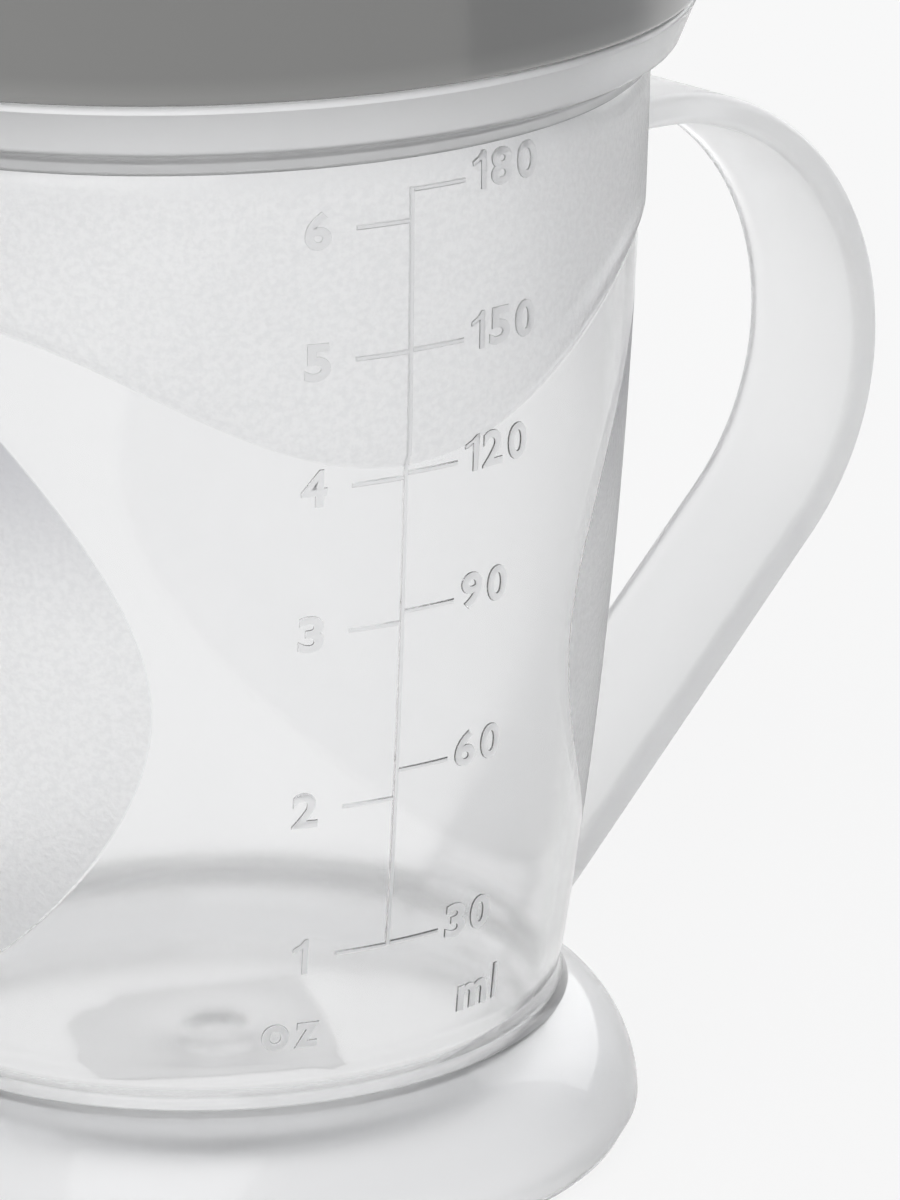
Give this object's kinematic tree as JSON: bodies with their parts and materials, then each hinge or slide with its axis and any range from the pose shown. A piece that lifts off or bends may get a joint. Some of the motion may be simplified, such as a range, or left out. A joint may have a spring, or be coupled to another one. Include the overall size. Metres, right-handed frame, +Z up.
{
  "type": "training cup",
  "caption": "Two-handled training cup: translucent tapered bowl with a flared foot and moulded scale, strap handles, push-on lid and a fold-down drinking spout.",
  "frame": {"origin": "centre of the foot's standing ring, on the table", "axes": "+Z up the cup's axis, -Y towards the scale on the front and the spout, the handles on +X and -X, swept back by 10 degrees"},
  "size_m": [0.1218, 0.0736, 0.1287],
  "materials": {
    "clear_plastic": "translucent moulded plastic, glossy below and frosted in the band and pads",
    "lid_grey": "glossy moulded grey plastic",
    "spout_grey": "satin moulded grey plastic",
    "soft_seal": "soft white silicone"
  },
  "bodies": {
    "cup": {"bowl": "clear_plastic", "foot": "clear_plastic", "handle_right": "clear_plastic", "handle_left": "clear_plastic"},
    "lid": {"lid_cap": "lid_grey", "lid_gasket": "soft_seal", "spout_seal": "soft_seal"},
    "spout": {"flip_spout": "spout_grey"}
  },
  "joints": [
    {"name": "lid_lift", "type": "slide", "parent": "cup", "child": "lid", "axis": [0, 0, 1], "range_m": [0, 0.05]},
    {"name": "spout_flip", "type": "hinge", "parent": "lid", "child": "spout", "pos_m": [0, -0.017, 0.1012], "axis": [-1, 0, 0], "range_deg": [0, 90]}
  ]
}
